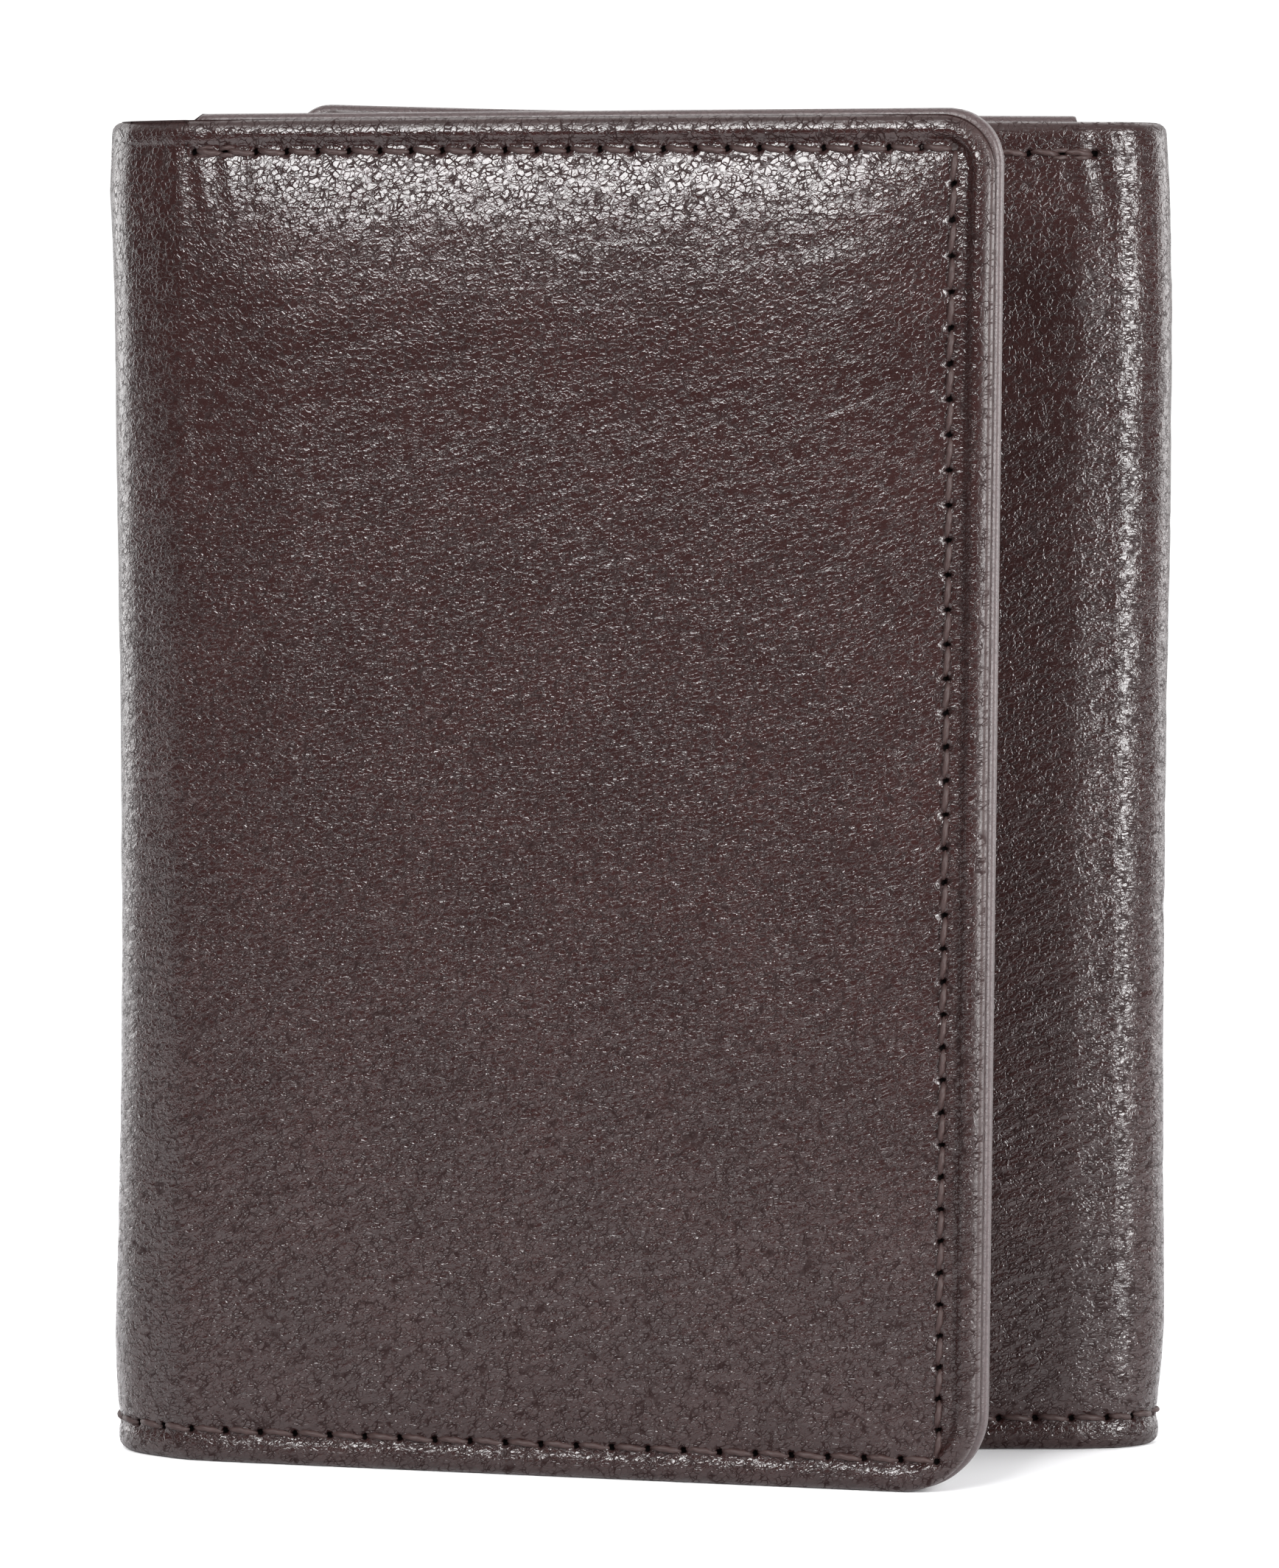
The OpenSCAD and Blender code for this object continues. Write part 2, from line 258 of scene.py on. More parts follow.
def bead(e, r):
    """Depth of a rounded edge of radius r, at distance e in from it."""
    q = np.clip(e, 0, r)
    return r - np.sqrt(np.maximum(r * r - (r - q) ** 2, 0))


def seam_distance(s, z):
    """Distance from the nearest line of stitches."""
    u = along_flap(s)
    past_start = np.maximum(np.where(s >= 0, TACK_FRONT, S_SECOND - TACK_SECOND) - u, 0)
    return np.minimum.reduce([
        np.abs(z - STITCH_BOTTOM) + 0 * s, np.hypot(z - STITCH_TOP, past_start),
        np.where(u > 0, np.abs(u - STITCH_SIDE), 99)])


# Depth of a flap's border against the distance from its edge: a rounded bead, then a dip
BORDER = ((0, 0.04, 0.1, 0.2, 0.4, 0.7, 1.0, 1.2, 1.4, 1.6, 1.9, 2.2, 2.6, 3.5, 4.5, 6.0, 8.0),
          (0.85, 0.62, 0.45, 0.32, 0.2, 0.1, 0.02, 0.0, 0.03, 0.1, 0.2, 0.235, 0.21, 0.16, 0.11, 0.05, 0.0))


def surface(s, z):
    """The shell's outer face without its holes: its depth under the nominal face, and the edge distance."""
    e = shell_edge(s, z)
    u = along_flap(s)
    on_flap = smooth(u / 6)
    bordered = on_flap * smooth((z - 4) / 6)
    border = np.interp(e, *BORDER)
    # the second flap's border runs out more slowly
    slow = 0.2 * smooth((e - 2) / 0.4) * (1 - smooth(e / 14))
    border = np.where(s < S_SECOND, np.maximum(border, slow), border)
    w = bead(e, EDGE_R) * (1 - bordered) + border * bordered
    w = w + (0.1 - 0.06 * bordered) * np.exp(-(seam_distance(s, z) / 0.6) ** 2)
    # each panel rises inside its seams
    top_fall = 1 - np.clip((STITCH_TOP + 0.5 - z) / 15.5, 0, 1)
    side_fall = 1 - np.clip((STITCH_SIDE - u) / 8, 0, 1)
    foot_fall = 1 - np.clip((z - STITCH_BOTTOM) / 7, 0, 1)
    inside = smooth((e - 1.5) / 0.5)
    side_reach = np.where(s >= 0, 0.3, 0.15)
    # the front panel swells like a thin cushion and drops to its top seam, as the left fold's top does
    swell = 0.75 * smooth(s / 10) * smooth((SHELL_LEN - 2.6 - u) / 12) * (s > 0)
    top_reach = np.where(s >= S_BACK / 2, 0.8 * smooth((s + 13) / 9) + 0.87 * swell, -0.2 * on_flap)
    w = w + top_reach * top_fall ** 2 * (0.8 + 0.2 * inside)
    w = w + on_flap * side_reach * side_fall ** 2 * inside
    w = w - swell * smooth((z - 2) / 80)
    w = w + 0.12 * foot_fall ** 2 * inside
    # broad waves, slanting wrinkles, and creases across the folds
    a = s * math.cos(0.3) + z * math.sin(0.3)
    b = -s * math.sin(0.3) + z * math.cos(0.3)
    calm = smooth((e - 2) / 4)
    w = w + calm * (0.05 * value_noise(s / 15, z / 19, 1) + 0.03 * value_noise(a / 5, b / 2.0, 2)
                    + 0.016 * value_noise(a / 2.4, b / 0.85, 3))
    fold = np.exp(-((s - S_SECOND - 1) / 5) ** 2)
    w = w + calm * fold * (0.05 * value_noise(s / 4, z / 0.9, 4) + 0.028 * value_noise(s / 2, z / 0.45, 5))
    # tucks across the narrow border outside the side and top seams
    border_zone = np.exp(-((e - 1.5) / 0.8) ** 2) * (u > 0)
    along = np.where(np.abs(u - SHELL_LEN) < 4, z, s)
    w = w + border_zone * 0.035 * value_noise(along / 0.45, e / 2.5, 6)
    # puckers at the bar tacks
    for at in (TACK_FRONT + 1.0, TACK_SECOND - 0.5):
        near = np.exp(-((s - at) / 3.4) ** 2 - ((z - STITCH_TOP + 1.2) / 3.6) ** 2)
        w = w + near * (0.05 + 0.06 * np.sin(2.6 * (s - at) + 0.5 * (z - STITCH_TOP)))
    return w, e


def shell_relief(s, z):
    """The shell's outer face with its holes: depth, share of a hole at each point, edge distance."""
    w, e = surface(s, z)
    pit = np.zeros(w.shape)
    reach = 4 * HOLE_R
    near = seam_distance(s, z) < reach
    ps, pz = s[near], z[near]
    if ps.size:
        deepest = np.zeros(ps.size)
        for hs, hz in HOLES:
            close = (np.abs(ps - hs) < reach) & (np.abs(pz - hz) < reach)
            if close.any():
                da, db = ps[close] - hs, pz[close] - hz
                long_way, short_way = da * 0.9 - db * 0.44, da * 0.44 + db * 0.9
                hole = np.exp(-(long_way / HOLE_R) ** 4 - (short_way / HOLE_R) ** 4)
                deepest[close] = np.maximum(deepest[close], hole)
        pit[near] = deepest
    return w + HOLE_DEPTH * pit, pit, e


# --- Meshes ---


def steps(a, b, step, fine=()):
    """Grid lines from a to b about step apart. Each (from, to, spacing) in fine has closer lines."""
    marks = [a, b]
    for lo, hi, spacing in fine:
        lo, hi = max(lo, a), min(hi, b)
        if lo < hi:
            marks.extend(np.linspace(lo, hi, max(2, int(round((hi - lo) / spacing)) + 1)))
    marks = np.unique(np.round(marks, 4))
    out = [marks[0]]
    for m in marks[1:]:
        out.extend(np.linspace(out[-1], m, max(1, int(round((m - out[-1]) / step))) + 1)[1:])
    return np.array(out)


def near_edge(r, count):
    """Distances from an edge at which its rounding of radius r is sampled."""
    return r * (1 - np.cos(np.linspace(0, PI / 2, count)))


def quads(ns, nz, offset=0, flip=False):
    """Faces of a grid of ns by nz points that starts at offset."""
    i = np.arange(ns - 1)[:, None] * nz + np.arange(nz - 1)[None, :] + offset
    f = np.stack([i, i + nz, i + nz + 1, i + 1], -1).reshape(-1, 4)
    return f[:, ::-1] if flip else f


def border(ns, nz, offset=0):
    """Indices round the edge of a grid, in order."""
    g = np.arange(ns * nz).reshape(ns, nz) + offset
    return np.concatenate([g[:-1, 0], g[-1, :-1], g[:0:-1, -1], g[0, :0:-1]])


def skirt(a, b):
    """Faces that join two loops of the same length."""
    return np.stack([a, b, np.roll(b, -1), np.roll(a, -1)], -1)


def add_object(name, data):
    """A new object in the scene."""
    obj = bpy.data.objects.new(name, data)
    bpy.context.scene.collection.objects.link(obj)
    return obj


def build(name, verts, faces, material, marks, normals=None, outer=0, sharp=50):
    """A smooth-shaded object. normals belong to the first vertices, and are used on the first outer faces."""
    mesh = bpy.data.meshes.new(name)
    mesh.from_pydata(np.asarray(verts).tolist(), [], faces)
    mesh.shade_smooth()
    mesh.set_sharp_from_angle(angle=math.radians(sharp))
    for key, values in marks.items():
        values = np.asarray(values, np.float32)
        vector = values.ndim == 2
        attribute = mesh.attributes.new(key, "FLOAT_VECTOR" if vector else "FLOAT", "POINT")
        attribute.data.foreach_set("vector" if vector else "value", values.ravel())
    if normals is not None:
        corner = np.zeros(len(mesh.loops), np.int32)
        mesh.loops.foreach_get("vertex_index", corner)
        sizes = np.zeros(len(mesh.polygons), np.int32)
        mesh.polygons.foreach_get("loop_total", sizes)
        use = np.repeat(np.arange(len(sizes)), sizes) < outer
        out = np.zeros((len(corner), 3))
        out[use] = normals[corner[use]]
        mesh.normals_split_custom_set(out.tolist())
    mesh.materials.append(material)
    return add_object(name, mesh)


def outward(faces, verts, direction):
    """faces, turned if the first of them looks against direction."""
    a, b, c = (verts[i] for i in faces[0][:3])
    return faces if np.dot(np.cross(b - a, c - a), direction) > 0 else [f[::-1] for f in faces]


def disc(a, b):
    """Points of the unit square moved into the unit disc."""
    a_in, b_in = np.clip(a, 0, 1), np.clip(b, 0, 1)
    return a * np.sqrt(1 - b_in ** 2 / 2), b * np.sqrt(1 - a_in ** 2 / 2)


def round_corners(u, z, length, height, radii):
    """Moves a rectangle's grid points so that its free corners follow their arcs."""
    for top, r in ((True, radii[0]), (False, radii[1])):
        a = (u - (length - r)) / r
        b = ((z - (height - r)) if top else (r - z)) / r
        inside = (a > 0) & (b > 0)
        na, nb = disc(a, b)
        u = np.where(inside, length - r + na * r, u)
        z = np.where(inside, (height - r + nb * r) if top else (r - nb * r), z)
    return u, z


class Flap:
    """Turns distances from a fold into distances along the shell, for one flap."""

    def __init__(self, second):
        self.origin, self.sign = (S_SECOND, -1) if second else (0.0, 1)
        self.radii = SECOND_CORNERS if second else FRONT_CORNERS

    def s(self, u):
        """Distance along the shell of a point u from the fold."""
        return self.origin + self.sign * u


def hide(name, s, z, back_depth, flap=None):
    """A piece of the shell over the grid s by z, closed at back_depth; a bend has no flap."""
    ext = np.concatenate([[2 * s[0] - s[1]], s, [2 * s[-1] - s[-2]]])
    sg, zg = np.meshgrid(ext, z, indexing="ij")
    if flap:
        u, zg = round_corners(np.abs(sg - flap.origin), zg, SHELL_LEN, SHELL_H, flap.radii)
        # the line beyond the fold's end stays beyond it
        u = np.where((sg - flap.origin) * flap.sign < 0, -u, u)
        sg = flap.s(u)
    w, pit, e = shell_relief(sg, zg)
    outer = place(sg, w, zg)
    ds, dz = outer[2:] - outer[:-2], np.gradient(outer, axis=1)[1:-1]
    normals = np.cross(ds, dz)
    normals /= np.maximum(np.linalg.norm(normals, axis=-1, keepdims=True), 1e-15)
    outer, sg, zg, pit, e = (v[1:-1] for v in (outer, sg, zg, pit, e))
    ns, nz = sg.shape
    inset = 0.3
    zb = z[0] + inset + (zg - z[0]) * (1 - 2 * inset / (z[-1] - z[0]))
    sb = flap.s(np.abs(sg - flap.origin) * (1 - inset / SHELL_LEN)) if flap else sg
    inner = place(sb, back_depth, zb)
    loop = border(ns, nz)
    flat_s, flat_z = sg.reshape(-1), zg.reshape(-1)
    middle = place(flat_s[loop], back_depth - 0.35, flat_z[loop])
    count = ns * nz
    loop_mid = np.arange(len(loop)) + count
    verts = [outer.reshape(-1, 3), middle]
    faces = [quads(ns, nz), skirt(loop_mid, loop)]
    start = count + len(loop)
    bent = flap is None and abs(s[-1] - s[0]) < BACK_LEN / 2
    if bent:
        verts.append(inner.reshape(-1, 3))
        loop_in = border(ns, nz, start)
        faces.append(quads(ns, nz, start, flip=True))
        under_s, under_z = flat_s, flat_z
    else:
        verts.append(inner.reshape(-1, 3)[loop])
        loop_in = np.arange(len(loop)) + start
        under_s, under_z = flat_s[loop], flat_z[loop]
    faces.append(skirt(loop_in, loop_mid))
    faces = [f for part in faces for f in part.tolist()]
    if not bent:
        faces.append(loop_in[::-1].tolist())
    verts = np.concatenate(verts)
    away = outer[ns // 2, nz // 2] - inner[ns // 2, nz // 2]
    if np.dot(normals[ns // 2, nz // 2], away) < 0:
        normals, faces = -normals, [f[::-1] for f in faces]
    rest = len(verts) - count
    skin = (np.concatenate([flat_s, flat_s[loop], under_s]), np.concatenate([flat_z, flat_z[loop], under_z]),
            np.concatenate([np.zeros(count), np.full(rest, 1.5)]))
    marks = {
        "skin": np.stack(skin, 1),
        "edge": np.concatenate([e.reshape(-1), np.zeros(rest)]),
        "pit": np.concatenate([pit.reshape(-1), np.zeros(rest)])}
    return build(name, verts, faces, SHELL, marks,
                 normals.reshape(-1, 3), (ns - 1) * (nz - 1))


def ply(name, s, z, e, outer, inner, edge_r, material, tag):
    """A closed sheet between depths outer and inner over grids s and z, rounded where e is small.

    tag keeps its grain apart from the other sheets'.
    """
    cut = bead(e, edge_r)
    front, back = place(s, outer + cut, z), place(s, inner - cut, z)
    ns, nz = s.shape
    verts = np.concatenate([front.reshape(-1, 3), back.reshape(-1, 3)])
    faces = np.concatenate([quads(ns, nz), quads(ns, nz, ns * nz, flip=True),
                            skirt(border(ns, nz, ns * nz), border(ns, nz))]).tolist()
    faces = outward(faces, verts, front[0, 0] - back[0, 0])
    marks = {"skin": np.stack([np.tile(s.reshape(-1), 2), np.tile(z.reshape(-1), 2),
                               np.repeat([tag, tag + 10.0], ns * nz)], 1),
             "edge": np.tile(e.reshape(-1), 2), "pit": np.zeros(len(verts))}
    return build(name, verts, faces, material, marks)


def rect_edge(a, b, ends=True):
    """Distance from the edge of a plain grid; with ends False only the edges along its length count."""
    e = np.minimum(b - b.min(), b.max() - b)
    return np.minimum(e, np.minimum(a - a.min(), a.max() - a)) if ends else e


def lines(a, b, r, step, fine=()):
    """Grid lines from a to b, close together by both rounded edges."""
    near = near_edge(r, 5)
    return np.concatenate([a + near[:-1], steps(a + r, b - r, step, fine), (b - near[:-1])[::-1]])


# --- Threads ---


# Points round a thread and along a stitch
AROUND, ALONG = 10, 13


def threads(name, starts, ends, depth_of, radius, lean):
    """Two-ply stitches between points (s, z) of the skin. depth_of gives the face they lie on."""
    starts, ends = np.asarray(starts, float), np.asarray(ends, float)
    t = np.linspace(0, 1, ALONG)[None, :]
    run = ends - starts
    length = np.linalg.norm(run, axis=1)[:, None]
    across = np.stack([-run[:, 1], run[:, 0]], 1) / length
    jitter = rng.uniform(0.75, 1.2, (len(starts), 1))
    slant = 0.13 * lean * jitter * (2 * t - 1) + 0.08 * lean * np.sin(PI * t)
    trim = 0.1 + 0.8 * t
    sg = starts[:, :1] + run[:, :1] * trim + across[:, :1] * slant
    zg = starts[:, 1:] + run[:, 1:] * trim + across[:, 1:] * slant
    lift = np.sin(PI * t).clip(0) ** 0.6 * rng.uniform(0.85, 1.15, (len(starts), 1))
    depth = depth_of(sg, zg)
    sunk = THREAD_SUNK if depth_of is outer_face else -THREAD_SUNK
    w = depth + sunk * (2.3 - 2.6 * lift)
    path = place(sg, w, zg)
    tangent = np.gradient(path, axis=1)
    tangent /= np.linalg.norm(tangent, axis=-1, keepdims=True)
    out = place(sg, w - 1, zg) - path
    out /= np.linalg.norm(out, axis=-1, keepdims=True)
    side_way = np.cross(tangent, out)
    side_way /= np.linalg.norm(side_way, axis=-1, keepdims=True)
    out = np.cross(side_way, tangent)
    angle = np.linspace(0, 2 * PI, AROUND, endpoint=False)
    turn_of = 2 * PI * 1.3 * t[..., None] + rng.uniform(0, PI, (len(starts), 1, 1))
    r = radius * (0.82 + 0.22 * np.abs(np.cos(angle + turn_of)))
    r = r * (1 - 0.4 * np.abs(2 * t[..., None] - 1) ** 4)
    ring = (path[:, :, None] + (np.cos(angle) * r)[..., None] * side_way[:, :, None] / 1000
            + (np.sin(angle) * r)[..., None] * out[:, :, None] / 1000)
    verts = ring.reshape(-1, 3)
    faces = []
    for i in range(len(starts)):
        o = i * ALONG * AROUND
        for j in range(ALONG - 1):
            for k in range(AROUND):
                p, q = o + j * AROUND, o + j * AROUND + (k + 1) % AROUND
                faces.append([p + k, q, q + AROUND, p + k + AROUND])
        faces.append([o + k for k in range(AROUND)][::-1])
        faces.append([o + (ALONG - 1) * AROUND + k for k in range(AROUND)])
    a, b, c = (verts[i] for i in faces[0][:3])
    if np.dot(np.cross(b - a, c - a), a - path[0, 0]) < 0:
        faces = [f[::-1] for f in faces]
    way = np.broadcast_to((t * length)[..., None], r.shape)
    shift = np.broadcast_to(np.arange(len(starts))[:, None, None] * 7.3, r.shape)
    marks = {"skin": np.stack([way + shift, r * np.cos(angle), r * np.sin(angle)], -1).reshape(-1, 3)}
    return build(name, verts, faces, THREAD, marks, sharp=70)


def outer_face(s, z):
    """Depth of the shell's outer face."""
    return surface(s, z)[0]


def inner_face(s, z):
    """Depth of the inner face of a flap's panel and pockets."""
    plies = sum((z < POCKET_TOP - i * POCKET_STEP).astype(float) for i in range(3))
    u = along_flap(s)
    plies = plies * (u < FLAP_LEN - POCKET_INSET) * (z > POCKET_INSET)
    return PANEL_BACK + PLY_T * plies


def stitched(name, line_parts, depth_of, node, holder):
    """Threads between neighbouring holes of each part, as one piece. holder attaches it to a body, or bakes
    it in place.
    """
    starts = np.concatenate([p[:-1] for p in line_parts])
    ends = np.concatenate([p[1:] for p in line_parts])
    obj = threads(name, starts, ends, depth_of, THREAD_R, -1.0)
    if node:
        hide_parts(node)
    holder(obj)


def between(line, lo, hi):
    """The stitches of the bottom seam whose middles lie from lo to hi along the shell."""
    mid = (line[:-1, 0] + line[1:, 0]) / 2
    keep = np.where((mid > lo) & (mid <= hi))[0]
    return line[keep[0]:keep[-1] + 2]


def rider(body):
    """Makes a piece ride on a body."""
    return lambda obj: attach(obj, body)


def bender(s_from, s_to):
    """Bakes a bend piece's place into its mesh, where it stays; the rest points at s_from and s_to are worked
    out but not used.
    """
    start, end = (tuple(float(v) for v in place(s, 2.4, SHELL_H / 2)) for s in (s_from, s_to))
    return lambda obj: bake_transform(obj)


THIRD, HALF = PI * LEFT_R / 3, PI * RIGHT_R / 2
MIDDLE = S_RIGHT - HALF
BENDS = {
    "left_fold_end": (-THIRD, 0.0, bender(-THIRD, 0.0)),
    "left_fold_middle": (-2 * THIRD, -THIRD, bender(-2 * THIRD, -THIRD)),
    "left_fold_start": (S_BACK, -2 * THIRD, bender(S_BACK, -2 * THIRD)),
    "right_fold_start": (MIDDLE, S_RIGHT, bender(S_RIGHT, MIDDLE)),
    "right_fold_end": (S_SECOND, MIDDLE, bender(MIDDLE, S_SECOND)),
}
# The CAD strip that each bend's pieces stand for; the other two bends have none of their own
STANDS_FOR = {"left_fold_end": "left_fold_front", "left_fold_middle": "left_fold_rear",
              "right_fold_end": "right_fold"}


# --- Materials ---


class Nodes:
    """A short way to write a node tree."""

    def __init__(self, name):
        self.material = bpy.data.materials.new(name)
        self.material.use_nodes = True
        self.tree = self.material.node_tree
        self.shader = self.tree.nodes["Principled BSDF"]

    def put(self, socket, value):
        """Sets a socket to a number or colour, or links it."""
        if isinstance(value, (int, float, tuple)):
            socket.default_value = value
        else:
            self.tree.links.new(value, socket)

    def add(self, kind, inputs=(), **values):
        """A new node with these properties and inputs."""
        node = self.tree.nodes.new(kind)
        for key, value in values.items():
            setattr(node, key, value)
        for key, value in dict(inputs).items():
            self.put(node.inputs[key], value)
        return node

    def feed(self, name, value):
        """Gives the shader's socket of this name its value."""
        self.put(self.shader.inputs[name], value)

    def math(self, operation, a, b=0.0, clamp=False):
        return self.add("ShaderNodeMath", {0: a, 1: b}, operation=operation, use_clamp=clamp).outputs[0]

    def ramp(self, value, low_in, high_in, low_out=0.0, high_out=1.0):
        """An S-shaped step from low_out to high_out."""
        inputs = {"Value": value, "From Min": low_in, "From Max": high_in,
                  "To Min": low_out, "To Max": high_out}
        return self.add("ShaderNodeMapRange", inputs, clamp=True, interpolation_type="SMOOTHSTEP").outputs[0]

    def mix(self, share, a, b):
        return self.add("ShaderNodeMix", {0: share, 6: a, 7: b}, data_type="RGBA").outputs[2]

    def attribute(self, name, output="Vector"):
        return self.add("ShaderNodeAttribute", attribute_name=name).outputs[output]

    def mapped(self, vector, size, turn_z=0.0):
        """vector in axes turned by turn_z, in units of size along each."""
        inputs = {"Vector": vector, "Rotation": (0, 0, turn_z), "Scale": size}
        return self.add("ShaderNodeMapping", inputs, vector_type="TEXTURE").outputs[0]

    def noise(self, vector, scale, detail, roughness=0.5, output="Fac"):
        inputs = {"Vector": vector, "Scale": scale, "Detail": detail, "Roughness": roughness}
        return self.add("ShaderNodeTexNoise", inputs).outputs[output]

    def cells(self, vector):
        """Distance from the edges of cells one unit wide."""
        inputs = {"Vector": vector, "Scale": 1.0, "Randomness": 1.0}
        return self.add("ShaderNodeTexVoronoi", inputs, feature="DISTANCE_TO_EDGE").outputs["Distance"]

    def bump(self, height, distance):
        inputs = {"Strength": 1.0, "Distance": distance, "Height": height}
        return self.add("ShaderNodeBump", inputs).outputs[0]


def warped(n, vector, scale, amount):
    """vector moved about by noise, so that straight patterns wander."""
    colour = n.noise(vector, scale, 2.0, output="Color")
    centred = n.add("ShaderNodeVectorMath", {0: colour, 1: (0.5, 0.5, 0.5)}, operation="SUBTRACT")
    scaled = n.add("ShaderNodeVectorMath", {0: centred.outputs[0], "Scale": amount}, operation="SCALE")
    return n.add("ShaderNodeVectorMath", {0: vector, 1: scaled.outputs[0]}, operation="ADD").outputs[0]


def shell_leather():
    """Dark brown grained leather: pebbled near the top, finer and slanting lower down."""
    n = Nodes("shell_leather_grain")
    skin = n.attribute("skin")
    edge = n.attribute("edge", "Fac")
    pit = n.attribute("pit", "Fac")
    separate = n.add("ShaderNodeSeparateXYZ", {0: skin})
    wander = n.noise(skin, 0.06, 2.0)
    height_here = n.math("ADD", separate.outputs["Y"], n.math("MULTIPLY", wander, 24.0))
    pebbled = n.ramp(height_here, 84.0, 106.0)
    soft = warped(n, skin, 1.3, 0.35)
    slant = math.radians(22)
    slanted = n.mapped(soft, (0.58, 0.3, 1.0), slant)
    pebbles = n.mapped(soft, (0.56, 0.48, 1.0), slant)
    crease_a = n.ramp(n.cells(pebbles), 0.0, 0.1)
    crease_b = n.ramp(n.cells(slanted), 0.0, 0.13)
    # creases that run round the right fold
    from_fold = n.math("ABSOLUTE", n.math("SUBTRACT", separate.outputs["X"], S_SECOND + 1.0))
    crease_c = n.ramp(n.cells(n.mapped(soft, (0.95, 0.25, 1.0))), 0.0, 0.16)
    # wider creases that gather the fine grain into larger scales
    gathered = n.ramp(n.cells(n.mapped(soft, (1.5, 1.0, 1.0), slant)), 0.0, 0.07)
    fine_crease = n.mix(n.ramp(from_fold, 5.5, 2.5), n.mix(pebbled, crease_b, crease_a), crease_c)
    worn_away = n.ramp(n.noise(skin, 1.1, 1.0), 0.38, 0.62, 1.0, 0.3)
    crease = n.math("MULTIPLY", fine_crease, n.ramp(gathered, 0.0, 1.0, 0.3, 1.0))
    crease = n.math("SUBTRACT", 1.0, n.math("MULTIPLY", n.math("SUBTRACT", 1.0, crease), worn_away))
    streaks = n.noise(n.mapped(soft, (2.2, 0.62, 1.0), slant), 1.0, 1.0)
    grains = n.ramp(n.noise(skin, 2.6, 1.0), 0.5, 0.72)
    fine = n.math("ADD", grains, n.math("MULTIPLY", n.noise(skin, 7.0, 1.0), 0.6))
    height = n.math("MULTIPLY", crease, 0.026)
    height = n.math("ADD", height, n.math("MULTIPLY", streaks, n.ramp(pebbled, 0.0, 1.0, 0.1, 0.035)))
    height = n.math("ADD", height, n.math("MULTIPLY", fine, n.ramp(pebbled, 0.0, 1.0, 0.026, 0.018)))
    calm = n.ramp(edge, 0.2, 1.2, 0.5, 1.0)
    n.feed("Normal", n.bump(n.math("MULTIPLY", height, calm), 0.001))
    patches = n.ramp(n.noise(skin, 0.12, 3.0), 0.3, 0.7)
    tone = n.mix(patches, (0.0155, 0.0059, 0.0055, 1), (0.0205, 0.0081, 0.0075, 1))
    # painted shade: the grain's creases are coloured darker than the leather's tone, where shade falls in
    # them
    crease_shaded_tone = n.mix(crease, (0.0100, 0.0038, 0.0036, 1), tone)
    rubbed = n.mix(n.ramp(edge, 0.4, 0.05, 0.0, 0.3), crease_shaded_tone, (0.05, 0.03, 0.029, 1))
    # painted shade: the needle holes are coloured near-black, where shade falls in them
    n.feed("Base Color", n.mix(n.ramp(pit, 0.3, 0.7), rubbed, (0.001, 0.0006, 0.0006, 1)))
    rough = n.ramp(crease, 0.0, 1.0, 0.42, 0.16)
    rough = n.math("ADD", rough, n.math("MULTIPLY", n.noise(skin, 0.5, 2.0), 0.06))
    rough = n.math("ADD", rough, n.ramp(edge, 1.1, 0.3, 0.0, 0.2))
    n.feed("Roughness", n.math("ADD", rough, n.ramp(pit, 0.2, 0.6, 0.0, 0.5), clamp=True))
    shine = n.ramp(crease, 0.0, 1.0, 0.1, 0.5)
    n.feed("Specular IOR Level", n.math("MULTIPLY", shine, n.ramp(pit, 0.2, 0.6, 1.0, 0.05)))
    return n.material


def inner_leather():
    """The smoother leather of the inner panels and pockets."""
    n = Nodes("inner_leather_grain")
    skin = n.attribute("skin")
    edge = n.attribute("edge", "Fac")
    pit = n.attribute("pit", "Fac")
    soft = warped(n, skin, 0.8, 0.3)
    grain = n.ramp(n.cells(n.mapped(soft, (0.5, 0.42, 1.0))), 0.0, 0.14)
    fine = n.noise(skin, 4.0, 2.0)
    height = n.math("ADD", n.math("MULTIPLY", grain, 0.008), n.math("MULTIPLY", fine, 0.014))
    n.feed("Normal", n.bump(height, 0.001))
    patches = n.ramp(n.noise(skin, 0.1, 3.0), 0.3, 0.7)
    base = n.mix(patches, (0.028, 0.0125, 0.012, 1), (0.036, 0.017, 0.016, 1))
    rubbed = n.mix(n.ramp(edge, 0.8, 0.1, 0.0, 0.5), base, (0.075, 0.058, 0.060, 1))
    # painted shade: the grain's creases are coloured darker, where shade falls in them
    grain_shaded_tone = n.mix(n.ramp(grain, 0.0, 1.0, 0.5, 1.0), (0.02, 0.009, 0.009, 1), rubbed)
    # painted shade: any needle holes are coloured near-black, where shade falls in them
    n.feed("Base Color", n.mix(n.ramp(pit, 0.35, 0.75), grain_shaded_tone, (0.003, 0.002, 0.002, 1)))
    n.feed("Roughness", n.ramp(fine, 0.2, 0.8, 0.36, 0.5))
    return n.material


def thread_material():
    """Waxed thread with its plies showing."""
    n = Nodes("waxed_thread")
    skin = n.attribute("skin")
    fibre = n.noise(n.mapped(skin, (0.5, 0.11, 0.11)), 1.0, 2.0)
    n.feed("Base Color", n.mix(fibre, (0.013, 0.0056, 0.0052, 1), (0.042, 0.021, 0.019, 1)))
    n.feed("Normal", n.bump(fibre, 0.00004))
    n.feed("Roughness", 0.55)
    n.feed("Specular IOR Level", 0.35)
    return n.material


def lining_material():
    """Fine dark twill."""
    n = Nodes("lining_weave")
    skin = n.attribute("skin")
    wave = n.add("ShaderNodeTexWave", {"Vector": skin, "Scale": 1.6, "Distortion": 0.4},
                 wave_type="BANDS", bands_direction="DIAGONAL")
    weave = wave.outputs["Fac"]
    n.feed("Base Color", n.mix(weave, (0.012, 0.010, 0.011, 1), (0.035, 0.029, 0.031, 1)))
    n.feed("Normal", n.bump(weave, 0.00005))
    n.feed("Roughness", 0.7)
    n.feed("Sheen Weight", 0.3)
    return n.material


